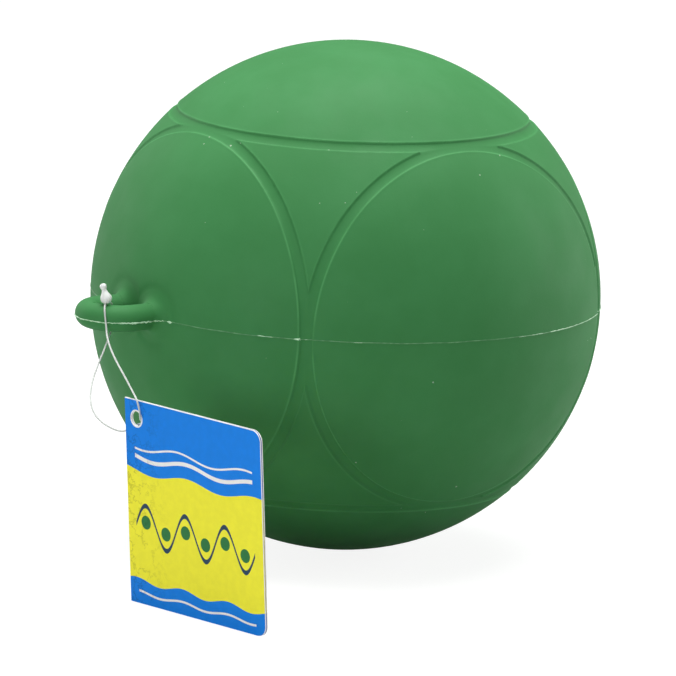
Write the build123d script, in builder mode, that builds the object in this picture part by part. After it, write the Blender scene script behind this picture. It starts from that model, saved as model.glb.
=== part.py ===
# A nine-inch moulded ball buoy of the kind that marks a slalom course: a hollow ball with ring grooves, a
# moulded mooring loop, an inflation valve, and a card hang tag on a looped nylon pin. Millimetres, +Z up.
# The origin is the ball's centre, on the mould's parting plane, which is also where the buoy floats.
import math
import os

from build123d import *

# Ball
ball_diameter = 228.6
shell_wall = 3.0
groove_width = 4.6
groove_depth = 1.0
groove_draft = 0.3
groove_half_angle = 44.75
panel_patch_angle = 26.0
cut_over = 2.0

# Mooring loop, an arch in the parting plane that stands on the ball at -Y
loop_bar_diameter = 11.8
loop_bend_radius = 12.0
loop_reach = 29.6
loop_rise = 1.0
loop_leg_bow = 90.0
loop_leg_sink = 8.0
root_flare = 4.6
root_height = 3.8
root_foot = 0.9
root_fillet = 7.0

# Inflation valve, opposite the loop
valve_flange_diameter = 16.0
valve_flange_height = 1.2
valve_stem_diameter = 9.0
valve_stem_length = 14.0
valve_dish_diameter = 7.0
valve_dish_depth = 0.6
needle_bore = 1.8
needle_depth = 11.0
valve_clearance = 0.15

# Hang tag, one card folded at its left edge
tag_width = 89.0
tag_height = 92.0
card_thickness = 0.4
fold_radius = 0.5
leaf_spread = 0.3
tag_corner_radius = 5.0
tag_hole_diameter = 6.6
tag_hole_inset = 7.7
tag_hole_drop = 8.4
tag_corner = (60.3, -154.6, -114.0)
tag_yaw = 5.9
tag_lean = 5.3

# Tag pin, a looped nylon filament with a moulded snap head on top of the loop's bar
pin_bend_angle = 37.0
filament_diameter = 0.8
head_clearance = 0.6
head_lean = 7.0
head_base_diameter = 2.4
head_diameter = 5.2
head_belly_height = 2.3
head_height = 6.2
head_top_diameter = 2.4
barb_neck_diameter = 2.0
barb_diameter = 3.0
barb_height = 3.0
filament_route = [
    (6.0, -134.9, 8.6), (8.3, -138.0, 7.8), (12.0, -140.2, 3.7), (12.9, -139.8, -1.8), (17.5, -142.3, -6.0),
    (28.0, -146.4, -10.8), (40.7, -151.0, -14.6), (52.8, -155.8, -17.4), (63.4, -160.2, -19.8),
    (70.5, -163.1, -21.5), (72.6, -163.3, -24.6), (73.2, -162.9, -27.6), (71.3, -161.3, -30.8),
    (69.7, -158.8, -32.3), (66.2, -157.2, -33.8), (61.1, -157.0, -35.7), (54.3, -157.5, -39.8),
    (48.2, -159.6, -39.3), (40.1, -160.5, -37.3), (33.2, -160.1, -33.8), (27.4, -157.5, -28.8),
    (21.3, -152.2, -23.4), (16.7, -146.0, -16.9), (12.9, -139.9, -10.6), (8.6, -134.8, -6.3), (5.2, -130.9, -4.4),
    (3.7, -129.4, 0.1), (4.2, -130.3, 5.3), (6.3, -133.2, 7.8), (8.7, -136.3, 8.6),
]

# Worked out from the sizes above
ball_radius = ball_diameter / 2
floor_radius = ball_radius - groove_depth
inner_radius = ball_radius - shell_wall
bar_radius = loop_bar_diameter / 2
bend_y = -(ball_radius + loop_reach - bar_radius - loop_bend_radius)
leg_end_y = -(ball_radius - loop_leg_sink)
leg_turn = math.degrees(math.asin((leg_end_y - bend_y) / loop_leg_bow))
leg_x = loop_bend_radius - loop_leg_bow * (1 - math.cos(math.radians(leg_turn)))
root_y = -math.sqrt(ball_radius**2 - leg_x**2)
root_radius = (floor_radius + inner_radius) / 2
groove_axes = [(1, 0, 0), (0, 1, 0), (0, 0, 1), (-1, 0, 0), (0, -1, 0), (0, 0, -1)]
panel_middle = (1, 1, 1)
panel_section = Plane(origin=(0, 0, 0), x_dir=(1, -1, 0), z_dir=Vector(1, -1, 0).cross(Vector(*panel_middle)))
valve_seat_y = ball_radius - valve_flange_height - valve_clearance
valve_recess_diameter = valve_flange_diameter + 2 * valve_clearance
valve_bore_diameter = valve_stem_diameter + 2 * valve_clearance

pin_x = loop_bend_radius * math.sin(math.radians(pin_bend_angle))
pin_y = bend_y - loop_bend_radius * math.cos(math.radians(pin_bend_angle))
head_base_z = loop_rise + bar_radius + head_clearance
bar_along = Vector(1, 0, 0).rotate(Axis.Z, pin_bend_angle)
head_axis = Vector(0, 0, 1) * math.cos(math.radians(head_lean)) - bar_along * math.sin(math.radians(head_lean))
head_across = Vector(bar_along.Y, -bar_along.X, 0)
head_section = Plane(origin=(pin_x, pin_y, head_base_z), x_dir=head_axis.cross(head_across), z_dir=head_across)

tag_along = Vector(1, 0, 0).rotate(Axis.Z, tag_yaw)
tag_front = Vector(0, -1, 0).rotate(Axis.Z, tag_yaw)
tag_up = Vector(0, 0, 1) * math.cos(math.radians(tag_lean)) + tag_front * math.sin(math.radians(tag_lean))
tag_section = Plane(origin=tag_corner, x_dir=tag_along, z_dir=tag_up)
tag_face = Plane(origin=tag_corner, x_dir=tag_along, z_dir=tag_along.cross(tag_up))


def polar(radius, angle):
    """A point at an angle in degrees from the sketch's upright axis."""
    return (radius * math.sin(math.radians(angle)), radius * math.cos(math.radians(angle)))


def wall_angle(side, radius):
    """The angle from a groove's axis to its inner (-1) or outer (1) wall, which narrows with its draft."""
    half_width = groove_width / 2 - groove_draft * (ball_radius - radius) / groove_depth
    return groove_half_angle + side * math.degrees(half_width / ball_radius)


def groove_section(axis):
    """A sketch plane through the ball's centre whose upright is a groove's axis."""
    side = (0, 0, 1) if axis[2] == 0 else (0, 1, 0)
    return Plane(origin=(0, 0, 0), x_dir=Vector(*axis).cross(Vector(*side)), z_dir=side)


def route_radii(points):
    """The largest tangent arc that each corner of a route allows."""
    radii = []
    for before, corner, after in zip(points, points[1:], points[2:]):
        run_in = Vector(*corner) - Vector(*before)
        run_out = Vector(*after) - Vector(*corner)
        half_turn = math.radians(run_in.get_angle(run_out) / 2)
        radii.append(0.45 * min(run_in.length, run_out.length) / math.tan(half_turn))
    return radii


# Ball: six round caps and eight three-cornered panels stand proud of an inner ball, which is the grooves' floor.
with BuildPart() as corner_panel:
    with BuildSketch(panel_section):
        with BuildLine():
            Line(polar(root_radius, 0), polar(ball_radius, 0))
            ThreePointArc(*(polar(ball_radius, angle) for angle in (0, panel_patch_angle / 2, panel_patch_angle)))
            Line(polar(ball_radius, panel_patch_angle), polar(root_radius, panel_patch_angle))
            ThreePointArc(*(polar(root_radius, angle) for angle in (panel_patch_angle, panel_patch_angle / 2, 0)))
        make_face()
    revolve(axis=Axis((0, 0, 0), panel_middle))
    for groove_axis in groove_axes[:3]:
        wall_top = polar(ball_radius + cut_over, wall_angle(1, ball_radius + cut_over))
        with BuildSketch(groove_section(groove_axis)):
            with BuildLine():
                Polyline(
                    (0, inner_radius / 2),
                    (0, ball_diameter),
                    (wall_top[0], ball_diameter),
                    wall_top,
                    polar(inner_radius, wall_angle(1, inner_radius)),
                    close=True,
                )
            make_face()
        revolve(axis=Axis((0, 0, 0), groove_axis), mode=Mode.SUBTRACT)

with BuildPart() as corner_panels:
    with PolarLocations(0, 4):
        add(corner_panel.part)
    mirror(about=Plane.XY)

with BuildPart() as ball_shell:
    Sphere(floor_radius)
    for groove_axis in groove_axes:
        edge_angle = wall_angle(-1, ball_radius)
        foot_angle = wall_angle(-1, root_radius)
        with BuildSketch(groove_section(groove_axis)):
            with BuildLine():
                Line(polar(root_radius, 0), polar(ball_radius, 0))
                ThreePointArc(*(polar(ball_radius, angle) for angle in (0, edge_angle / 2, edge_angle)))
                Line(polar(ball_radius, edge_angle), polar(root_radius, foot_angle))
                ThreePointArc(*(polar(root_radius, angle) for angle in (foot_angle, foot_angle / 2, 0)))
            make_face()
        revolve(axis=Axis((0, 0, 0), groove_axis))
    add(corner_panels.part)
    Sphere(inner_radius, mode=Mode.SUBTRACT)
    with BuildSketch(Plane.XZ.offset(-valve_seat_y)):
        Circle(valve_recess_diameter / 2)
    extrude(amount=-(valve_flange_height + cut_over), mode=Mode.SUBTRACT)
    with BuildSketch(Plane.XZ.offset(-ball_radius)):
        Circle(valve_bore_diameter / 2)
    extrude(amount=shell_wall + cut_over, mode=Mode.SUBTRACT)

# Mooring loop: a round bar bent into an arch, with legs that bow in and flare out where they meet the ball.
with BuildPart() as mooring_loop:
    with BuildLine(Plane.XY.offset(loop_rise)) as arch:
        left_leg = CenterArc((loop_leg_bow - loop_bend_radius, bend_y), loop_leg_bow, 180 - leg_turn, leg_turn)
        bend = CenterArc((0, bend_y), loop_bend_radius, 180, 180)
        right_leg = CenterArc((loop_bend_radius - loop_leg_bow, bend_y), loop_leg_bow, 0, leg_turn)
    with BuildSketch(Plane(origin=arch.line @ 0, z_dir=arch.line % 0)):
        Circle(bar_radius)
    sweep(path=arch.line)
    for leg_side in (1, -1):
        root_point = Vector(leg_side * leg_x, root_y, loop_rise)
        root_outward = Vector(leg_side * leg_x, root_y, 0).normalized()
        foot_radius = bar_radius + root_flare
        with BuildSketch(Plane(origin=root_point, x_dir=(-root_outward.Y, root_outward.X, 0))):
            with BuildLine():
                Line((0, loop_leg_sink), (0, -root_height))
                Line((0, -root_height), (bar_radius, -root_height))
                RadiusArc((bar_radius, -root_height), (foot_radius, root_foot), root_fillet)
                Line((foot_radius, root_foot), (foot_radius, loop_leg_sink))
                Line((foot_radius, loop_leg_sink), (0, loop_leg_sink))
            make_face()
        revolve(axis=Axis(root_point, root_outward))
    Sphere(ball_radius, mode=Mode.SUBTRACT)

# Inflation valve: a soft plug with a dished face and a needle bore.
with BuildPart() as inflation_valve:
    with BuildSketch(Plane.XZ.offset(-valve_seat_y)):
        Circle(valve_flange_diameter / 2)
    extrude(amount=-valve_flange_height)
    with BuildSketch(Plane.XZ.offset(-valve_seat_y)):
        Circle(valve_stem_diameter / 2)
    extrude(amount=valve_stem_length)
    with BuildSketch(Plane.XZ.offset(-(valve_seat_y + valve_flange_height))):
        Circle(valve_dish_diameter / 2)
    extrude(amount=valve_dish_depth, mode=Mode.SUBTRACT)
    with BuildSketch(Plane.XZ.offset(-(valve_seat_y + valve_flange_height))):
        Circle(needle_bore / 2)
    extrude(amount=needle_depth, mode=Mode.SUBTRACT)

# Hang tag: a folded card, its free corners rounded, with one hole through both leaves.
with BuildPart() as hang_tag:
    back_start = 2 * fold_radius
    back_end = 2 * fold_radius + leaf_spread
    with BuildSketch(tag_section):
        with BuildLine():
            Line((tag_width, 0), (fold_radius, 0))
            ThreePointArc((fold_radius, 0), (0, fold_radius), (fold_radius, back_start))
            Line((fold_radius, back_start), (tag_width, back_end))
            Line((tag_width, back_end), (tag_width, back_end - card_thickness))
            Line((tag_width, back_end - card_thickness), (fold_radius, back_start - card_thickness))
            ThreePointArc(
                (fold_radius, back_start - card_thickness), (card_thickness, fold_radius), (fold_radius, card_thickness)
            )
            Line((fold_radius, card_thickness), (tag_width, card_thickness))
            Line((tag_width, card_thickness), (tag_width, 0))
        make_face()
    extrude(amount=tag_height)
    with BuildSketch(tag_face.offset(cut_over)):
        with Locations((tag_width / 2, tag_height / 2)):
            Rectangle(tag_width, tag_height)
        free_corners = sorted(vertices(), key=lambda v: tag_face.to_local_coords(v.center()).X)[2:]
        fillet(free_corners, tag_corner_radius)
    extrude(amount=-(back_end + 2 * cut_over), mode=Mode.INTERSECT)
    with BuildSketch(tag_face.offset(cut_over)):
        with Locations((tag_hole_inset, tag_height - tag_hole_drop)):
            Circle(tag_hole_diameter / 2)
    extrude(amount=-(back_end + 2 * cut_over), mode=Mode.SUBTRACT)

# Tag pin: the filament goes from its head round the bar, through the card's hole and back through the eye.
filament_radii = route_radii(filament_route)
with BuildPart() as tag_pin_filament:
    with BuildLine() as route:
        FilletPolyline(*filament_route, radius=filament_radii)
    with BuildSketch(Plane(origin=route.line @ 0, z_dir=route.line % 0)):
        Circle(filament_diameter / 2)
    sweep(path=route.line)

with BuildPart() as tag_pin_head:
    base_radius = head_base_diameter / 2
    belly_radius = head_diameter / 2
    top_radius = head_top_diameter / 2
    neck_radius = barb_neck_diameter / 2
    with BuildSketch(head_section):
        with BuildLine():
            Line((0, 0), (base_radius, 0))
            RadiusArc((base_radius, 0), (belly_radius, head_belly_height), head_belly_height)
            RadiusArc((belly_radius, head_belly_height), (top_radius, head_height), 2 * head_height)
            Line((top_radius, head_height), (neck_radius, head_height))
            ThreePointArc(
                (neck_radius, head_height),
                (barb_diameter / 2, head_height + barb_height / 2),
                (neck_radius, head_height + barb_height),
            )
            Line((neck_radius, head_height + barb_height), (0, head_height + barb_height))
            Line((0, head_height + barb_height), (0, 0))
        make_face()
    revolve(axis=Axis(head_section.origin, head_axis))

ball_shell.part.label = "ball_shell"
mooring_loop.part.label = "mooring_loop"
inflation_valve.part.label = "inflation_valve"
hang_tag.part.label = "hang_tag"
tag_pin_filament.part.label = "tag_pin_filament"
tag_pin_head.part.label = "tag_pin_head"

os.makedirs("parts", exist_ok=True)
export_step(ball_shell.part, "parts/ball_shell.step")
export_step(mooring_loop.part, "parts/mooring_loop.step")
export_step(inflation_valve.part, "parts/inflation_valve.step")
export_step(hang_tag.part, "parts/hang_tag.step")
export_step(tag_pin_filament.part, "parts/tag_pin_filament.step")
export_step(tag_pin_head.part, "parts/tag_pin_head.step")

print("filament length", round(sum(edge.length for edge in route.edges()), 1))
print("filament radii", [round(radius, 1) for radius in filament_radii])
print("loop bend centre", round(bend_y, 2), "leg", round(leg_x, 2), "root", round(root_y, 2))
print("pin axis", round(pin_x, 2), round(pin_y, 2), loop_rise)
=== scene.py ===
# A moulded ball buoy on a pale floor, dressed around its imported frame.
# Metres, +Z up, origin at the ball's centre.
import math

import bmesh
import bpy
import numpy as np
from mathutils import Matrix, Vector


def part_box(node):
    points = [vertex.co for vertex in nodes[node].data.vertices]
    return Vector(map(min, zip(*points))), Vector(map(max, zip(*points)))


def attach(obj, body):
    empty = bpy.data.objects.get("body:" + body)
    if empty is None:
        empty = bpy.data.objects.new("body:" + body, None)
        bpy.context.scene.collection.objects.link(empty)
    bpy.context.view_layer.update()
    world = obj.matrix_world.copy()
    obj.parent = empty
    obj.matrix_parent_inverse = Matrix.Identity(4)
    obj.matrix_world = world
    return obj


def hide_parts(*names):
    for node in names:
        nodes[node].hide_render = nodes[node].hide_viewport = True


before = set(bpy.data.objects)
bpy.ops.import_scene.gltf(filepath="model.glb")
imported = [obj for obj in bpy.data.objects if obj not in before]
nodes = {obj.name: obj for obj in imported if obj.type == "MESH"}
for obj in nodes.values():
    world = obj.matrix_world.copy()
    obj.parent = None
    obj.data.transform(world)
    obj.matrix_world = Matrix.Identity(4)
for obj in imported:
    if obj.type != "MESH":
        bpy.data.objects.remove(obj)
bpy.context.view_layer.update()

MM = 0.001
scene = bpy.context.scene

# Ball: its radius and ring grooves as on the frame, and the finish of its skin
BALL_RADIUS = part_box("ball_shell")[1][2]
GROOVE_HALF_ANGLE = math.radians(44.75)
GROOVE_WIDTH = 4.6 * MM
GROOVE_DEPTH = 0.85 * MM
GROOVE_COVE = 0.25 * MM
GROOVE_EDGE = 0.5 * MM
LIP_HEIGHT = 0.12 * MM
LIP_MIDDLE = 0.45 * MM
LIP_WIDTH = 0.4 * MM
OUTER_LIP = 0.45
MOULD_SHIFT = math.radians(-0.3)
VALVE_RECESS_RADIUS = 8.15 * MM
VALVE_RECESS_DEPTH = 1.35 * MM
DENT_DIRECTION = (0.068, -0.914, 0.401)
DENT_WIDTH = 9.0 * MM
DENT_DEPTH = 0.4 * MM

# Mooring loop, as on the frame, and the fillet and moat at its roots
LOOP_BEND = Vector((0, -126.0, 1.0)) * MM
LOOP_BEND_RADIUS = 12.0 * MM
LOOP_BAR_RADIUS = 5.9 * MM
LOOP_LEG_BOW = 90.0 * MM
LEG_ROOT_X = 9.82 * MM
LEG_ROOT_Y = -113.88 * MM
ROOT_FILLET = 4.5 * MM
ROOT_SKIN_TOP = 4.0 * MM
ROOT_MOAT_DEPTH = 0.4 * MM
ROOT_MOAT_WIDTH = 2.0 * MM

# Hang tag, as on the frame
TAG_CORNER = Vector((60.3, -154.6, -114.0)) * MM
TAG_WIDTH = 89.0 * MM
TAG_HEIGHT = 92.0 * MM
TAG_YAW = math.radians(5.9)
TAG_LEAN = math.radians(5.3)
TAG_ALONG = Vector((math.cos(TAG_YAW), math.sin(TAG_YAW), 0))
TAG_FRONT = Vector((math.sin(TAG_YAW), -math.cos(TAG_YAW), 0))
TAG_UP = Vector((0, 0, math.cos(TAG_LEAN))) + TAG_FRONT * math.sin(TAG_LEAN)
TAG_NORMAL = TAG_ALONG.cross(TAG_UP)

# Camera, fitted to the photograph
VIEW_AZIMUTH = math.radians(53.41)
VIEW_ELEVATION = math.radians(10.71)
VIEW_ROLL = math.radians(2.45)
VIEW_DISTANCE = 5.0
VIEW_TARGET = Vector((1.4, -4.2, -19.2)) * MM
FOCAL_PIXELS = 11161
FRAME_PIXELS = 676
SENSOR_WIDTH = 36.0
CLIP_END = 100


def new_object(name, mesh):
    """A scene object for a mesh or curve, linked into the scene."""
    piece = bpy.data.objects.new(name, mesh)
    scene.collection.objects.link(piece)
    return piece


def unit(vectors):
    """Rows of vectors scaled to length one."""
    return vectors / np.linalg.norm(vectors, axis=1, keepdims=True)


def tube_mesh(name, rings, material):
    """A closed tube over rings of points, capped at both ends."""
    around = len(rings[0])
    faces = [tuple(reversed(range(around))), tuple(range((len(rings) - 1) * around, len(rings) * around))]
    for ring in range(len(rings) - 1):
        for k in range(around):
            first = ring * around + k
            beside = ring * around + (k + 1) % around
            faces.append((first, beside, beside + around, first + around))
    mesh = bpy.data.meshes.new(name)
    mesh.from_pydata([tuple(point) for ring in rings for point in ring], [], faces)
    mesh.polygons.foreach_set("use_smooth", [True] * len(faces))
    mesh.materials.append(material)
    bm = bmesh.new()
    bm.from_mesh(mesh)
    bmesh.ops.recalc_face_normals(bm, faces=bm.faces)
    bm.to_mesh(mesh)
    bm.free()
    return mesh


# Camera
def place_camera():
    toward = Vector((
        math.sin(VIEW_AZIMUTH) * math.cos(VIEW_ELEVATION),
        -math.cos(VIEW_AZIMUTH) * math.cos(VIEW_ELEVATION),
        math.sin(VIEW_ELEVATION),
    ))
    level = Vector((math.cos(VIEW_AZIMUTH), math.sin(VIEW_AZIMUTH), 0))
    upright = toward.cross(level)
    right = level * math.cos(VIEW_ROLL) + upright * math.sin(VIEW_ROLL)
    up = toward.cross(right)
    data = bpy.data.cameras.new("camera")
    data.sensor_width = SENSOR_WIDTH
    data.lens = FOCAL_PIXELS * SENSOR_WIDTH / FRAME_PIXELS
    data.clip_end = CLIP_END
    camera = new_object("camera", data)
    turn = Matrix((
        (right.x, up.x, toward.x, 0),
        (right.y, up.y, toward.y, 0),
        (right.z, up.z, toward.z, 0),
        (0, 0, 0, 1),
    ))
    camera.matrix_world = Matrix.Translation(VIEW_TARGET + toward * VIEW_DISTANCE) @ turn
    scene.camera = camera


place_camera()


# Materials
class Shader:
    """A node material, with short calls for the nodes that the finishes share."""

    def __init__(self, name):
        self.material = bpy.data.materials.new(name)
        self.material.use_nodes = True
        self.tree = self.material.node_tree
        self.surface = self.tree.nodes["Principled BSDF"]
        self.coordinates = self.tree.nodes.new("ShaderNodeTexCoord")

    def node(self, kind, **settings):
        made = self.tree.nodes.new(kind)
        for key, value in settings.items():
            setattr(made, key, value)
        return made

    def put(self, socket, value):
        if isinstance(value, bpy.types.NodeSocket):
            self.tree.links.new(value, socket)
        else:
            socket.default_value = value

    def math(self, operation, first, second=0.0, third=0.0):
        made = self.node("ShaderNodeMath", operation=operation)
        for socket, value in zip(made.inputs, (first, second, third)):
            self.put(socket, value)
        return made.outputs[0]

    def dot(self, vector, direction):
        made = self.node("ShaderNodeVectorMath", operation="DOT_PRODUCT")
        self.put(made.inputs[0], vector)
        made.inputs[1].default_value = direction
        return made.outputs["Value"]

    def ramp(self, value, low, high, start=0.0, end=1.0):
        made = self.node("ShaderNodeMapRange", interpolation_type="SMOOTHSTEP")
        for socket, number in zip(made.inputs, (value, low, high, start, end)):
            self.put(socket, number)
        return made.outputs[0]

    def mix(self, factor, first, second):
        made = self.node("ShaderNodeMix", data_type="RGBA")
        self.put(made.inputs["Factor"], factor)
        self.put(made.inputs[6], first)
        self.put(made.inputs[7], second)
        return made.outputs[2]

    def noise(self, scale, detail=2.0, roughness=0.5):
        made = self.node("ShaderNodeTexNoise")
        self.put(made.inputs["Vector"], self.coordinates.outputs["Object"])
        made.inputs["Scale"].default_value = scale
        made.inputs["Detail"].default_value = detail
        made.inputs["Roughness"].default_value = roughness
        return made.outputs["Fac"]

    def cells(self, scale):
        made = self.node("ShaderNodeTexVoronoi", feature="F1")
        self.put(made.inputs["Vector"], self.coordinates.outputs["Object"])
        made.inputs["Scale"].default_value = scale
        return made.outputs["Distance"]

    def bump(self, height, strength, distance):
        made = self.node("ShaderNodeBump")
        made.inputs["Strength"].default_value = strength
        made.inputs["Distance"].default_value = distance
        self.put(made.inputs["Height"], height)
        self.put(self.surface.inputs["Normal"], made.outputs["Normal"])

    def set(self, **inputs):
        for name, value in inputs.items():
            self.put(self.surface.inputs[name.replace("_", " ")], value)


PVC_GREEN = (0.034, 0.2, 0.052, 1)
PVC_PALE = (0.041, 0.22, 0.062, 1)
# Pale green of the painted highlight along the grooves' lips
PVC_LIP_HIGHLIGHT = (0.066, 0.29, 0.092, 1)
DUST = (0.55, 0.65, 0.52, 1)
DUST_CELLS = 180
DUST_SIZE = 0.085
DUST_STRENGTH = 0.6
FLASH_DULL = (0.4, 0.7, 0.42, 1)
FLASH_BRIGHT = (0.68, 0.97, 0.7, 1)
RIDGE_GREEN = (0.05, 0.21, 0.07, 1)
RIDGE_PALE = (0.12, 0.33, 0.14, 1)
RUBBER_DARK = (0.012, 0.014, 0.012, 1)
RUBBER_PALE = (0.03, 0.034, 0.03, 1)
STRAND_CLEAR = (0.5, 0.53, 0.5, 1)
STRAND_MILKY = (0.6, 0.63, 0.6, 1)
HEAD_CLEAR = (0.88, 0.92, 0.88, 1)
HEAD_MILKY = (0.95, 0.97, 0.95, 1)
HEAD_SHEER = 0.15

# Painted highlight on the grooves' lips, a pale band where light would catch them: distances past a groove's
# edge, in mm, and its strength where it is patchy
LIP_HIGHLIGHT_START = -0.1
LIP_HIGHLIGHT_FULL = 0.25
LIP_HIGHLIGHT_FADE = 0.5
LIP_HIGHLIGHT_END = 1.2
LIP_HIGHLIGHT_SIDE_BLEND = 0.1
LIP_HIGHLIGHT_LEAST = 0.45
FAR_AWAY = 100.0


def lip_highlight_paint(shader):
    """How far the skin is painted pale along the ring grooves' lips, as a painted highlight where light
    catches them, more on the caps' side. Lengths in mm.
    """
    across = shader.node("ShaderNodeVectorMath", operation="NORMALIZE")
    shader.put(across.inputs[0], shader.coordinates.outputs["Object"])
    parts = shader.node("ShaderNodeSeparateXYZ")
    shader.put(parts.inputs[0], across.outputs[0])
    nearest = FAR_AWAY
    inmost = FAR_AWAY
    for axis in parts.outputs:
        angle = shader.math("ARCCOSINE", shader.math("ABSOLUTE", axis))
        turn = shader.math("SUBTRACT", angle, GROOVE_HALF_ANGLE)
        offset = shader.math("MULTIPLY", turn, BALL_RADIUS / MM)
        nearest = shader.math("MINIMUM", shader.math("ABSOLUTE", offset), nearest)
        inmost = shader.math("MINIMUM", offset, inmost)
    edge = GROOVE_WIDTH / 2 / MM
    rise = shader.ramp(nearest, edge + LIP_HIGHLIGHT_START, edge + LIP_HIGHLIGHT_FULL)
    fall = shader.ramp(nearest, edge + LIP_HIGHLIGHT_FADE, edge + LIP_HIGHLIGHT_END, start=1.0, end=0.0)
    side = shader.ramp(inmost, -LIP_HIGHLIGHT_SIDE_BLEND, LIP_HIGHLIGHT_SIDE_BLEND, start=1.0, end=OUTER_LIP)
    patchy = shader.ramp(shader.noise(scale=55), low=0.3, high=0.65, start=LIP_HIGHLIGHT_LEAST)
    highlight = shader.math("MULTIPLY", shader.math("MULTIPLY", rise, fall), side)
    return shader.math("MULTIPLY", highlight, patchy)


def pvc_finish():
    """Satin moulded PVC: faint mottling, a painted highlight along the grooves' lips, a fine skin texture,
    and stray specks of dust.
    """
    shader = Shader("buoy_pvc")
    mottle = shader.ramp(shader.noise(scale=22, detail=4, roughness=0.6), low=0.35, high=0.7)
    colour = shader.mix(mottle, PVC_GREEN, PVC_PALE)
    # Painted highlight: the grooves' lips are painted pale where light would catch them
    colour = shader.mix(lip_highlight_paint(shader), colour, PVC_LIP_HIGHLIGHT)
    size = shader.ramp(shader.noise(scale=40, detail=1), low=0.5, high=0.75, end=DUST_SIZE)
    speck = shader.math("LESS_THAN", shader.cells(DUST_CELLS), size)
    colour = shader.mix(shader.math("MULTIPLY", speck, DUST_STRENGTH), colour, DUST)
    rough = shader.ramp(shader.noise(scale=60, detail=3), low=0.2, high=0.8, start=0.66, end=0.76)
    shader.set(Base_Color=colour, Roughness=rough, IOR=1.5, Specular_IOR_Level=0.32)
    shader.bump(shader.noise(scale=900), strength=0.08, distance=0.4 * MM)
    return shader.material


def flash_finish():
    """Stress-whitened flash along the parting line."""
    shader = Shader("parting_flash")
    shade = shader.ramp(shader.noise(scale=700), low=0.3, high=0.7)
    shader.set(Base_Color=shader.mix(shade, FLASH_DULL, FLASH_BRIGHT), Roughness=0.6)
    return shader.material


def ridge_finish():
    """The parting line's thin ridge, a little paler than the skin."""
    shader = Shader("parting_ridge")
    shade = shader.ramp(shader.noise(scale=300), low=0.35, high=0.7)
    shader.set(Base_Color=shader.mix(shade, RIDGE_GREEN, RIDGE_PALE), Roughness=0.5)
    return shader.material


def rubber_finish():
    """The valve's matte black rubber."""
    shader = Shader("valve_rubber")
    shade = shader.noise(scale=250, detail=3)
    shader.set(Base_Color=shader.mix(shade, RUBBER_DARK, RUBBER_PALE), Roughness=0.6)
    shader.bump(shader.noise(scale=1500), strength=0.1, distance=0.3 * MM)
    return shader.material


def nylon_finish(name, clear, milky, sheer):
    """Natural nylon, between a clear and a milky tone, that lets a share of the light through."""
    shader = Shader(name)
    colour = shader.mix(shader.noise(scale=400), clear, milky)
    shader.set(Base_Color=colour, Roughness=0.28, IOR=1.53, Transmission_Weight=sheer)
    return shader.material


CARD_BLUE = (0.005, 0.235, 0.85, 1)
CARD_YELLOW = (0.97, 0.92, 0.047, 1)
CARD_WHITE = (0.93, 0.93, 0.91, 1)
CARD_GREEN = (0.03, 0.2, 0.06, 1)
CARD_DARK = (0.02, 0.06, 0.12, 1)

# The card's print, in mm from its lower folded corner. A wave is its level, height, length and phase.
CARD_MARGIN = 0.2
CARD_FACING = 0.8
CREASE_REACH = 32.0
CREASE_SHADE = 0.3
CRACK_WIDTH = 0.025
TAG_CORNER_RADIUS = 5.0
TAG_HOLE = (7.7, 83.6)
TAG_HOLE_RIM = 4.0
FOOTER_WAVE = (10.5, 1.2, 30, 0.6)
HEADER_WAVE = (60.5, 1.6, 44, 2.2)
CREST_WAVES = ((66.0, 1.6, 44, 2.2), (71.0, 1.6, 44, 3.0), (4.6, 0.8, 30, 0.6))
CREST_LINES = (1.8, 0.9, 1.0)
CREST_START = 6
CREST_END = 83
WEAVE_START = 5.5
WEAVE_GATE = 13.0
WEAVE_GATES = 6
WEAVE_LEVEL = 36.0
WEAVE_HEIGHT = 9.0
WEAVE_LINE = 1.1
FLOAT_RISE = 1.5
FLOAT_RADIUS = 3.1


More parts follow.
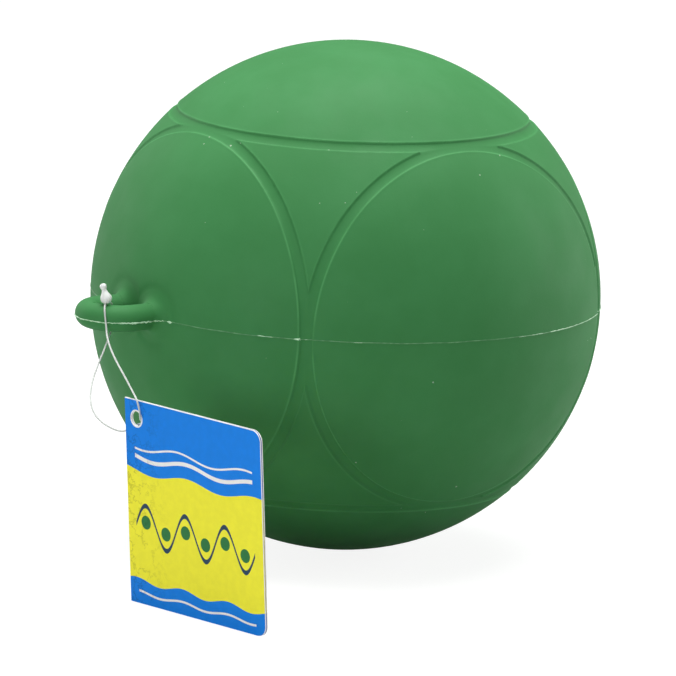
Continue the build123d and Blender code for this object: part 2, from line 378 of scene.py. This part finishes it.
def card_finish():
    """Coated card, printed with waves and a weaving course, white on its trimmed edges. Lengths in mm."""
    shader = Shader("tag_card")
    place = shader.node("ShaderNodeVectorMath", operation="SUBTRACT")
    shader.put(place.inputs[0], shader.coordinates.outputs["Object"])
    place.inputs[1].default_value = TAG_CORNER
    along = shader.math("DIVIDE", shader.dot(place.outputs[0], TAG_ALONG), MM)
    up = shader.math("DIVIDE", shader.dot(place.outputs[0], TAG_UP), MM)

    def wave(level, height, length, phase):
        swing = shader.math("SINE", shader.math("MULTIPLY_ADD", along, 2 * math.pi / length, phase))
        return shader.math("MULTIPLY_ADD", swing, height, level)

    def less(first, second):
        return shader.math("SUBTRACT", first, second)

    def above(value, level):
        return shader.math("GREATER_THAN", value, level)

    def below(value, level):
        return shader.math("LESS_THAN", value, level)

    def both(first, second):
        return shader.math("MULTIPLY", first, second)

    def either(first, second):
        return shader.math("MAXIMUM", first, second)

    def band(value, low, high):
        return both(above(value, low), below(value, high))

    def reach(across, rise):
        return shader.math("SQRT", shader.math("ADD", both(across, across), both(rise, rise)))

    def from_point(point):
        return reach(less(along, point[0]), less(up, point[1]))

    bands = either(above(wave(*FOOTER_WAVE), up), above(up, wave(*HEADER_WAVE)))
    paint = shader.mix(bands, CARD_YELLOW, CARD_BLUE)
    inset = band(along, WEAVE_START, WEAVE_START + WEAVE_GATES * WEAVE_GATE)
    travel = less(along, WEAVE_START)
    rise = less(up, WEAVE_LEVEL)
    weave = shader.math("SINE", shader.math("MULTIPLY", travel, math.pi / WEAVE_GATE))
    course = shader.math("ABSOLUTE", shader.math("MULTIPLY_ADD", weave, -WEAVE_HEIGHT, rise))
    front = shader.mix(both(inset, below(course, WEAVE_LINE)), paint, CARD_DARK)
    gate = shader.math("WRAP", travel, 0, WEAVE_GATE)
    float_rise = shader.math("MULTIPLY_ADD", shader.math("SIGN", weave), -FLOAT_RISE, rise)
    floats = below(reach(less(gate, WEAVE_GATE / 2), float_rise), FLOAT_RADIUS)
    front = shader.mix(both(inset, floats), front, CARD_GREEN)
    for crest, thickness in zip(CREST_WAVES, CREST_LINES):
        line = band(less(up, wave(*crest)), 0, thickness)
        front = shader.mix(both(line, band(along, CREST_START, CREST_END)), front, CARD_WHITE)

    width = TAG_WIDTH / MM
    height = TAG_HEIGHT / MM
    trimmed = either(above(along, width - CARD_MARGIN), above(up, height - CARD_MARGIN))
    for level, side in ((height - TAG_CORNER_RADIUS, 1), (TAG_CORNER_RADIUS, -1)):
        corner = (width - TAG_CORNER_RADIUS, level)
        outside = above(from_point(corner), TAG_CORNER_RADIUS - CARD_MARGIN)
        beyond = above(shader.math("MULTIPLY", less(up, level), side), 0)
        trimmed = either(trimmed, both(outside, both(beyond, above(along, corner[0]))))
    trimmed = either(trimmed, below(from_point(TAG_HOLE), TAG_HOLE_RIM))
    front = shader.mix(trimmed, front, CARD_WHITE)

    facing = shader.dot(shader.coordinates.outputs["Normal"], TAG_NORMAL)
    colour = shader.mix(below(facing, -CARD_FACING), CARD_WHITE, paint)
    colour = shader.mix(above(facing, CARD_FACING), colour, front)
    fibre = shader.ramp(shader.noise(scale=260, detail=4, roughness=0.6), low=0.35, high=0.7, start=0.95)
    crack = shader.math("ABSOLUTE", less(shader.noise(scale=75, detail=5, roughness=0.65), 0.5))
    handled = shader.ramp(along, CREASE_REACH, 0.0)
    crease = both(handled, shader.ramp(crack, 0.0, CRACK_WIDTH, start=CREASE_SHADE, end=0.0))
    fibre = both(fibre, less(1.0, crease))
    shade = shader.node("ShaderNodeVectorMath", operation="SCALE")
    shader.put(shade.inputs[0], colour)
    shader.put(shade.inputs["Scale"], fibre)
    shader.set(Base_Color=shade.outputs[0], Roughness=0.45, IOR=1.45, Specular_IOR_Level=0.15)
    shader.bump(shader.noise(scale=1200), strength=0.05, distance=0.2 * MM)
    return shader.material


pvc = pvc_finish()
flash_material = flash_finish()
ridge_material = ridge_finish()
rubber = rubber_finish()
strand_nylon = nylon_finish("strand_nylon", STRAND_CLEAR, STRAND_MILKY, sheer=0.0)
head_nylon = nylon_finish("head_nylon", HEAD_CLEAR, HEAD_MILKY, HEAD_SHEER)
card = card_finish()


# Tag pin head, on the bar's bend. Its profile is heights along its leaning axis and radii there, in mm.
PIN_BEND_ANGLE = math.radians(37.0)
HEAD_LEAN = math.radians(17.0)
HEAD_BASE_RISE = 6.5 * MM
HEAD_RING_POINTS = 36
HEAD_PROFILE = (
    (0.0, 0.9), (0.35, 1.5), (1.0, 2.25), (1.8, 2.55), (2.6, 2.6), (3.4, 2.35), (4.2, 1.95), (5.0, 1.5),
    (5.8, 1.15), (6.3, 1.05), (6.8, 1.25), (7.5, 1.5), (8.2, 1.5), (8.8, 1.15), (9.1, 0.6),
)


def head_mesh():
    """The pin's snap head: a belly that narrows to a neck, with a knob on top."""
    along = np.array((math.cos(PIN_BEND_ANGLE), math.sin(PIN_BEND_ANGLE), 0))
    across = np.array((math.sin(PIN_BEND_ANGLE), -math.cos(PIN_BEND_ANGLE), 0))
    upright = np.array((0, 0, 1))
    axis = upright * math.cos(HEAD_LEAN) - along * math.sin(HEAD_LEAN)
    side = along * math.cos(HEAD_LEAN) + upright * math.sin(HEAD_LEAN)
    base = np.array(LOOP_BEND) + across * LOOP_BEND_RADIUS + upright * HEAD_BASE_RISE
    turns = np.linspace(0, 2 * math.pi, HEAD_RING_POINTS, endpoint=False)
    ways = np.outer(np.cos(turns), side) + np.outer(np.sin(turns), across)
    rings = [base + axis * height * MM + ways * radius * MM for height, radius in HEAD_PROFILE]
    return tube_mesh("head_skin", rings, head_nylon)


head = new_object("head_skin", head_mesh())
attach(head, "tag_and_pin")
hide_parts("tag_pin_head")


# Tag pin: the filament and its route, in mm, as on the frame
FILAMENT_DIAMETER = 0.8 * MM
FILAMENT_ROUTE = [
    (6.0, -134.9, 8.6), (8.3, -138.0, 7.8), (12.0, -140.2, 3.7), (12.9, -139.8, -1.8), (17.5, -142.3, -6.0),
    (28.0, -146.4, -10.8), (40.7, -151.0, -14.6), (52.8, -155.8, -17.4), (63.4, -160.2, -19.8),
    (70.5, -163.1, -21.5), (72.6, -163.3, -24.6), (73.2, -162.9, -27.6), (71.3, -161.3, -30.8),
    (69.7, -158.8, -32.3), (66.2, -157.2, -33.8), (61.1, -157.0, -35.7), (54.3, -157.5, -39.8),
    (48.2, -159.6, -39.3), (40.1, -160.5, -37.3), (33.2, -160.1, -33.8), (27.4, -157.5, -28.8),
    (21.3, -152.2, -23.4), (16.7, -146.0, -16.9), (12.9, -139.9, -10.6), (8.6, -134.8, -6.3),
    (5.2, -130.9, -4.4), (3.7, -129.4, 0.1), (4.2, -130.3, 5.3), (6.3, -133.2, 7.8), (8.7, -136.3, 8.6),
]


def filament_curve():
    curve = bpy.data.curves.new("tag_pin_line", "CURVE")
    curve.dimensions = "3D"
    curve.bevel_depth = FILAMENT_DIAMETER / 2
    curve.bevel_resolution = 4
    curve.resolution_u = 8
    curve.use_fill_caps = True
    spline = curve.splines.new("NURBS")
    spline.points.add(len(FILAMENT_ROUTE) - 1)
    for point, place in zip(spline.points, FILAMENT_ROUTE):
        point.co = (*(Vector(place) * MM), 1)
    spline.order_u = 3
    spline.use_endpoint_u = True
    curve.materials.append(strand_nylon)
    return curve


filament = new_object("tag_pin_line", filament_curve())
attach(filament, "tag_and_pin")
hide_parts("tag_pin_filament")


# Ball: how fine its mesh starts, how far round each edge it is cut finer, and how far it snaps to one
BALL_SUBDIVISIONS = 6
DETAIL_REACHES = (4.6 * MM, 2.4 * MM, 0.9 * MM)
SNAP_REACH = 0.17 * MM


def groove_offsets(directions):
    """How far each direction lies from the middle of each ring groove, over the ball's surface."""
    angles = np.arccos(np.clip(np.abs(directions), 0, 1))
    return (angles - GROOVE_HALF_ANGLE) * BALL_RADIUS


def smooth(value, low, high):
    t = np.clip((value - low) / (high - low), 0, 1)
    return t * t * (3 - 2 * t)


def turned(directions, below, angle):
    """Directions with the ones marked as below turned about the upright axis."""
    turn = np.where(below, angle, 0.0)
    x = directions[:, 0] * np.cos(turn) - directions[:, 1] * np.sin(turn)
    y = directions[:, 0] * np.sin(turn) + directions[:, 1] * np.cos(turn)
    return np.column_stack((x, y, directions[:, 2]))


def moulded(directions):
    """Directions as the mould's halves see them: the lower half is turned a little."""
    return turned(directions, directions[:, 2] < 0, MOULD_SHIFT)


def valve_offset(directions):
    """How far each direction lies from the valve's middle, over the surface."""
    return np.arccos(np.clip(directions[:, 1], -1, 1)) * BALL_RADIUS


def loop_gap(places):
    """How far each place lies outside the mooring loop's bar."""
    from_middle = np.abs(places[:, 0]) + LOOP_LEG_BOW - LOOP_BEND_RADIUS
    leg = np.column_stack((from_middle, places[:, 1] - LOOP_BEND.y))
    bend = np.column_stack((places[:, 0], places[:, 1] - LOOP_BEND.y))
    from_leg = np.linalg.norm(leg, axis=1) - LOOP_LEG_BOW
    from_bend = np.linalg.norm(bend, axis=1) - LOOP_BEND_RADIUS
    level = np.where(places[:, 1] > LOOP_BEND.y, from_leg, from_bend)
    return np.hypot(level, places[:, 2] - LOOP_BEND.z) - LOOP_BAR_RADIUS


def moulded_gap(places):
    """How far each place lies outside the ball and loop as one moulding, with a round fillet between them."""
    ball_gap = np.linalg.norm(places, axis=1) - BALL_RADIUS
    bar_gap = loop_gap(places)
    fillet = np.hypot(np.maximum(ROOT_FILLET - ball_gap, 0), np.maximum(ROOT_FILLET - bar_gap, 0))
    return np.maximum(ROOT_FILLET, np.minimum(ball_gap, bar_gap)) - fillet


def way_out(starts, ways, low, high, steps=90):
    """How far along each way the moulding first ends, or high where it goes on past that."""
    marks = np.linspace(low, high, steps)
    gaps = np.stack([moulded_gap(starts + ways * mark) for mark in marks])
    outside = gaps > 0
    after = np.clip(outside.argmax(axis=0), 1, None)
    row = np.arange(len(starts))
    share = gaps[after - 1, row] / (gaps[after - 1, row] - gaps[after, row])
    crossing = marks[after - 1] + np.clip(share, 0, 1) * (marks[after] - marks[after - 1])
    return np.where(outside.any(axis=0), crossing, high)


def root_rise(directions):
    """How far the skin swells up to meet the loop's two legs, with a shallow moat round the swelling."""
    rise = np.zeros(len(directions))
    gap = loop_gap(directions * BALL_RADIUS)
    near = (directions[:, 1] < 0) & (gap < ROOT_FILLET)
    rise[near] = way_out(directions[near] * BALL_RADIUS, directions[near], 0, ROOT_SKIN_TOP)
    moat = (gap - ROOT_FILLET - ROOT_MOAT_WIDTH) / ROOT_MOAT_WIDTH
    return rise - ROOT_MOAT_DEPTH * np.exp(-moat**2) * smooth(gap, ROOT_FILLET - ROOT_MOAT_WIDTH, ROOT_FILLET)


def skin_radius(directions):
    """The ball's radius in each direction: coved grooves with raised lips, the roots, the valve's recess."""
    offset = groove_offsets(moulded(directions))
    across = np.abs(offset)
    wall = smooth(across, GROOVE_WIDTH / 2 - GROOVE_EDGE / 2, GROOVE_WIDTH / 2 + GROOVE_EDGE / 2)
    cove = GROOVE_DEPTH - GROOVE_COVE * np.clip(2 * across / GROOVE_WIDTH, 0, 1) ** 2
    depth = (cove * (1 - wall)).max(axis=1)
    beside = across.min(axis=1) - GROOVE_WIDTH / 2
    lip = LIP_HEIGHT * np.exp(-(((beside - LIP_MIDDLE) / LIP_WIDTH) ** 2)) * (beside > 0)
    lip = lip * np.where(offset.min(axis=1) < 0, 1, OUTER_LIP)
    recess = VALVE_RECESS_DEPTH * (valve_offset(directions) < VALVE_RECESS_RADIUS)
    away = np.arccos(np.clip(directions @ unit(np.array([DENT_DIRECTION]))[0], -1, 1)) * BALL_RADIUS
    dent = DENT_DEPTH * np.exp(-((away / DENT_WIDTH) ** 2))
    return BALL_RADIUS + lip - np.maximum(depth, recess) - dent + root_rise(directions)


def needs_detail(directions, reach):
    """True near the walls of a groove or of the valve's recess, and round the loop's roots."""
    offset = np.abs(groove_offsets(moulded(directions)))
    near = (np.abs(offset - GROOVE_WIDTH / 2) < reach).any(axis=1)
    near |= np.abs(valve_offset(directions) - VALVE_RECESS_RADIUS) < reach
    root = directions * BALL_RADIUS - np.array((0, -BALL_RADIUS, LOOP_BEND.z))
    root[:, 0] = np.maximum(np.abs(root[:, 0]) - LEG_ROOT_X, 0)
    return near | (np.linalg.norm(root, axis=1) < LOOP_BAR_RADIUS + ROOT_FILLET + reach)


def snapped(directions):
    """Directions close to the edge of a groove's wall, moved on to it, so that the edges run clean."""
    mould = moulded(directions)
    offset = groove_offsets(mould)
    low = GROOVE_WIDTH / 2 - GROOVE_EDGE / 2
    high = GROOVE_WIDTH / 2 + GROOVE_EDGE / 2
    for axis in range(3):
        for edge in (-high, -low, low, high):
            miss = edge - offset[:, axis]
            near = np.abs(miss) < SNAP_REACH
            angle = np.arccos(np.clip(np.abs(mould[near, axis]), 0, 1)) + miss[near] / BALL_RADIUS
            across = mould[near].copy()
            sign = np.sign(across[:, axis])
            across[:, axis] = 0
            moved = unit(across) * np.sin(angle)[:, None]
            moved[:, axis] = sign * np.cos(angle)
            mould[near] = moved
            offset = groove_offsets(mould)
    return turned(mould, directions[:, 2] < 0, -MOULD_SHIFT)


def ball_mesh():
    bm = bmesh.new()
    bmesh.ops.create_icosphere(bm, subdivisions=BALL_SUBDIVISIONS, radius=1)
    for reach in DETAIL_REACHES:
        bm.verts.index_update()
        directions = unit(np.array([v.co for v in bm.verts]))
        fine = needs_detail(directions, reach)
        edges = set()
        for face in bm.faces:
            if any(fine[v.index] for v in face.verts):
                edges.update(face.edges)
        bmesh.ops.subdivide_edges(bm, edges=list(edges), cuts=1)
        bmesh.ops.triangulate(bm, faces=bm.faces)
    directions = snapped(unit(np.array([v.co for v in bm.verts])))
    places = directions * skin_radius(directions)[:, None]
    for vertex, place in zip(bm.verts, places):
        vertex.co = place
    mesh = bpy.data.meshes.new("ball_skin")
    bm.to_mesh(mesh)
    bm.free()
    mesh.polygons.foreach_set("use_smooth", [True] * len(mesh.polygons))
    mesh.materials.append(pvc)
    return mesh


ball = new_object("ball_skin", ball_mesh())
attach(ball, "buoy")
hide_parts("ball_shell")


# Mooring loop: its bar, with legs that spread into the ball's skin
LOOP_RINGS = 150
LOOP_RING_POINTS = 48
LEG_SINK = 3.0 * MM
LEG_FOOT = 0.5
SKIRT_REACH = 13.0 * MM
LEAST_SLOPE = 0.01


def loop_middle(step):
    """A point on the bar's middle line in the parting plane, from root to root, and the way out there."""
    reach = abs(LOOP_BEND.y - LEG_ROOT_Y)
    leg = LOOP_LEG_BOW * math.asin(reach / LOOP_LEG_BOW)
    bend = math.pi * LOOP_BEND_RADIUS
    along = step * (2 * leg + bend)
    if along < leg or along > leg + bend:
        side = -1 if along < leg else 1
        turn = (leg - along if along < leg else along - leg - bend) / LOOP_LEG_BOW
        out = np.array((side * math.cos(turn), math.sin(turn), 0))
        bow = np.array((side * (LOOP_BEND_RADIUS - LOOP_LEG_BOW), LOOP_BEND.y, 0))
        return bow + out * LOOP_LEG_BOW, out
    turn = (along - leg) / LOOP_BEND_RADIUS - math.pi / 2
    out = np.array((math.sin(turn), -math.cos(turn), 0))
    return np.array((0, LOOP_BEND.y, 0)) + out * LOOP_BEND_RADIUS, out


def loop_mesh():
    """The bar, with its rings closest together at the roots, where they widen into the fillet."""
    upright = np.array((0, 0, 1))
    turns = np.linspace(0, 2 * math.pi, LOOP_RING_POINTS, endpoint=False)
    rings = []
    for share in np.linspace(-1, 1, LOOP_RINGS):
        step = 0.5 + 0.5 * math.sin(share * math.pi / 2)
        middle, out = loop_middle(step)
        middle = middle + upright * LOOP_BEND.z
        ways = np.outer(np.cos(turns), out) + np.outer(np.sin(turns), upright)
        starts = np.repeat([middle], LOOP_RING_POINTS, axis=0)
        reach = way_out(starts, ways, LOOP_BAR_RADIUS / 2, SKIRT_REACH)
        to_eye = abs(middle[0]) / np.maximum(-np.cos(turns), LEAST_SLOPE)
        reach = np.where(np.cos(turns) < 0, np.minimum(reach, to_eye), reach)
        rings.append(starts + ways * reach[:, None])
    for end in (0, -1):
        middle = rings[end].mean(axis=0)
        inward = -middle / np.linalg.norm(middle)
        foot = middle + LEG_FOOT * (rings[end] - middle) + inward * LEG_SINK
        rings.insert(0 if end == 0 else len(rings), foot)
    return tube_mesh("loop_skin", rings, pvc)


loop = new_object("loop_skin", loop_mesh())
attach(loop, "buoy")
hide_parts("mooring_loop")


# Parting line: a thin ridge round the ball, with whitened flash left on it and along the loop's outer edge
RIDGE_HALF_WIDTH = 0.28 * MM
RIDGE_HEIGHT = 0.14 * MM
RIDGE_SINK = 0.1 * MM
RIDGE_WANDER = ((0.1 * MM, 9), (0.06 * MM, 31))
RIDGE_STEPS = 1440
FLASH_STEP = 0.35 * MM
FLASH_FEWEST = 5
FLASH_SPREAD = (0.2, 1.0)
FLASH_RISE = (0.5, 1.0)
FLASH_PROUD = 0.8 * MM
FLASH_SINK = 0.08 * MM
LOOP_FLASH_STEPS = 260
LOOP_FLASH_SPREAD = (0.08, 0.75)
LOOP_FLASH_RISE = (0.15, 0.6)
LOOP_FLASH_LIFT = 0.05 * MM
LOOP_FLASH_SINK = 0.15 * MM
LOOP_FLASH_WANDER = 0.12
TUFT_STEPS = 5
TUFT_LEAST = 0.6
TAPER_STEPS = 3

# Strips of flash on the ball: first and last azimuth in degrees, from the loop towards +X, and size in mm
BALL_FLASH = (
    (10.2, 11.7, 1.15), (33.9, 37.9, 0.45), (42.2, 44.2, 1.0), (44.4, 45.8, 0.45), (55.2, 57.9, 0.35),
    (95.5, 104, 0.3), (106, 142, 0.42), (171, 180, 0.3), (196, 199, 0.5), (228, 251, 0.35), (285, 288, 0.5),
    (296, 310, 0.35),
)
chance = np.random.default_rng(7)


def strip_mesh(name, rows, material):
    """A mesh of quads over rows of points, one row for each step along the strip."""
    width = len(rows[0])
    faces = []
    for step in range(len(rows) - 1):
        for k in range(width - 1):
            first = step * width + k
            faces.append((first, first + 1, first + width + 1, first + width))
    mesh = bpy.data.meshes.new(name)
    mesh.from_pydata([tuple(point) for row in rows for point in row], [], faces)
    mesh.polygons.foreach_set("use_smooth", [True] * len(faces))
    mesh.materials.append(material)
    return mesh


def surface_row(azimuths, heights, proud):
    """Points on the skin at azimuths from -Y towards +X and heights, standing proud of it."""
    sides = np.column_stack((np.sin(azimuths), -np.cos(azimuths), np.zeros(len(azimuths))))
    directions = unit(sides + np.outer(heights / BALL_RADIUS, (0, 0, 1)))
    return directions * (skin_radius(directions) + proud)[:, None]


def ridge_rows():
    """The ridge's rows: sunk at both edges and raised between them, along a line that wanders a little."""
    azimuths = np.linspace(0, 2 * math.pi, RIDGE_STEPS + 1)
    middle = sum(swing * np.sin(count * azimuths) for swing, count in RIDGE_WANDER)
    profile = ((-1, -RIDGE_SINK), (-1 / 3, RIDGE_HEIGHT), (1 / 3, RIDGE_HEIGHT), (1, -RIDGE_SINK))
    lines = [
        surface_row(azimuths, middle + RIDGE_HALF_WIDTH * across, np.full(len(azimuths), proud))
        for across, proud in profile
    ]
    return list(zip(*lines))


def ragged(count, low, high):
    """Ragged sizes along a strip, in tufts, which taper to nothing at both ends."""
    marks = np.arange(0, count + TUFT_STEPS, TUFT_STEPS)
    tufts = np.interp(np.arange(count), marks, chance.uniform(0, 1, len(marks)))
    sizes = low + (high - low) * tufts * chance.uniform(TUFT_LEAST, 1, count)
    taper = np.minimum(np.arange(count), np.arange(count)[::-1]) / TAPER_STEPS
    return sizes * np.clip(taper, 0, 1)


def flash_rows(start, end, size):
    """A strip of flash on the ball, from its lower edge over its crest to its upper edge."""
    count = max(FLASH_FEWEST, int((end - start) * math.pi / 180 * BALL_RADIUS / FLASH_STEP))
    below = ragged(count, *FLASH_SPREAD) * size * MM
    above = ragged(count, *FLASH_SPREAD) * size * MM
    proud = ragged(count, *FLASH_RISE) * size * FLASH_PROUD
    azimuths = np.radians(np.linspace(start, end, count))
    sunk = np.full(count, -FLASH_SINK)
    lines = [
        surface_row(azimuths, -below, sunk),
        surface_row(azimuths, np.zeros(count), proud - sunk),
        surface_row(azimuths, above, sunk),
    ]
    return list(zip(*lines))


def loop_flash_rows():
    """The flash along the loop's outer edge, at the ball's parting plane."""
    count = LOOP_FLASH_STEPS
    below = ragged(count, *LOOP_FLASH_SPREAD) * MM
    above = ragged(count, *LOOP_FLASH_SPREAD) * MM
    proud = ragged(count, *LOOP_FLASH_RISE) * MM
    wander = chance.uniform(-LOOP_FLASH_WANDER, LOOP_FLASH_WANDER, count) * MM
    upright = np.array((0, 0, 1))
    middles, outs = (np.array(points) for points in zip(*map(loop_middle, np.linspace(0, 1, count))))
    reach = way_out(middles, outs, LOOP_BAR_RADIUS / 2, SKIRT_REACH)
    edge = middles + outs * reach[:, None] + np.outer(wander, upright)
    lines = [
        edge - np.outer(below, upright) - outs * LOOP_FLASH_SINK,
        edge + outs * (proud + LOOP_FLASH_LIFT)[:, None],
        edge + np.outer(above, upright) - outs * LOOP_FLASH_SINK,
    ]
    return list(zip(*lines))


def joined(name, parts):
    """One object from several strips."""
    bm = bmesh.new()
    for part in parts:
        bm.from_mesh(part)
    mesh = bpy.data.meshes.new(name)
    bm.to_mesh(mesh)
    bm.free()
    mesh.materials.append(parts[0].materials[0])
    return new_object(name, mesh)


ridge = new_object("parting_ridge", strip_mesh("parting_ridge", ridge_rows(), ridge_material))
ball_flash = joined("ball_flash", [
    strip_mesh("flash", flash_rows(start, end, size), flash_material) for start, end, size in BALL_FLASH
])
loop_flash = new_object("loop_flash", strip_mesh("loop_flash", loop_flash_rows(), flash_material))
for trim in (ridge, ball_flash, loop_flash):
    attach(trim, "buoy")


# Frame nodes that show as they are
for node_name, material in (("inflation_valve", rubber), ("hang_tag", card)):
    mesh = nodes[node_name].data
    mesh.materials.clear()
    mesh.materials.append(material)


# Floor, light and surroundings
FLOOR_HALF = 6.0
FLOOR_GAP = 0.1 * MM
FLOOR_GREY = (0.53, 0.53, 0.53, 1)
FLOOR_GREY_SEEN = (0.22, 0.22, 0.22, 1)
FLOOR_GLOW = 0.88
REFLECTED_GLOW = 0.12
WORLD_STRENGTH = 0.13

# Soft boxes: name, azimuth from the camera's and elevation in degrees, distance, size, power
SOFT_BOXES = (
    ("overhead", 155, 86, 1.6, (1.6, 1.6), 47.0),
    ("left_back", -125, 14, 1.5, (0.8, 1.2), 6.9),
    ("right_back", 112, 8, 1.5, (0.8, 1.0), 12.2),
    ("front_low", -30, 4, 1.6, (0.5, 0.4), 7.1),
)


def floor_finish():
    """A pale floor that keeps the object's shadow, lifted to white where it is seen, less in reflections."""
    shader = Shader("floor")
    rays = shader.node("ShaderNodeLightPath")
    seen = shader.math("MAXIMUM", rays.outputs["Is Camera Ray"], rays.outputs["Is Transmission Ray"])
    glow = shader.math("MULTIPLY", seen, FLOOR_GLOW)
    glow = shader.math("MULTIPLY_ADD", rays.outputs["Is Glossy Ray"], REFLECTED_GLOW, glow)
    shader.set(Base_Color=shader.mix(seen, FLOOR_GREY, FLOOR_GREY_SEEN), Roughness=1.0)
    shader.set(Emission_Color=(1, 1, 1, 1), Emission_Strength=glow)
    return shader.material


def floor_plane():
    level = -BALL_RADIUS - FLOOR_GAP
    corners = [(x * FLOOR_HALF, y * FLOOR_HALF, level) for x, y in ((-1, -1), (1, -1), (1, 1), (-1, 1))]
    mesh = bpy.data.meshes.new("floor")
    mesh.from_pydata(corners, [], [(0, 1, 2, 3)])
    mesh.materials.append(floor_finish())
    new_object("floor", mesh)


def view_direction(azimuth, elevation):
    """A unit vector at an azimuth from the camera's, positive to the right, and an elevation, in degrees."""
    turn = VIEW_AZIMUTH + math.radians(azimuth)
    rise = math.radians(elevation)
    return Vector((math.sin(turn) * math.cos(rise), -math.cos(turn) * math.cos(rise), math.sin(rise)))


def soft_light(name, azimuth, elevation, distance, size, power):
    data = bpy.data.lights.new(name, "AREA")
    data.shape = "RECTANGLE"
    data.size, data.size_y = size
    data.energy = power
    light = new_object(name, data)
    light.location = view_direction(azimuth, elevation) * distance
    light.rotation_euler = (-light.location).to_track_quat("-Z", "Y").to_euler()


def surroundings():
    world = bpy.data.worlds.new("studio")
    scene.world = world
    world.use_nodes = True
    glow = world.node_tree.nodes["Background"]
    glow.inputs["Color"].default_value = (1, 1, 1, 1)
    glow.inputs["Strength"].default_value = WORLD_STRENGTH


floor_plane()
surroundings()
for box in SOFT_BOXES:
    soft_light(*box)
scene.view_settings.view_transform = "Standard"
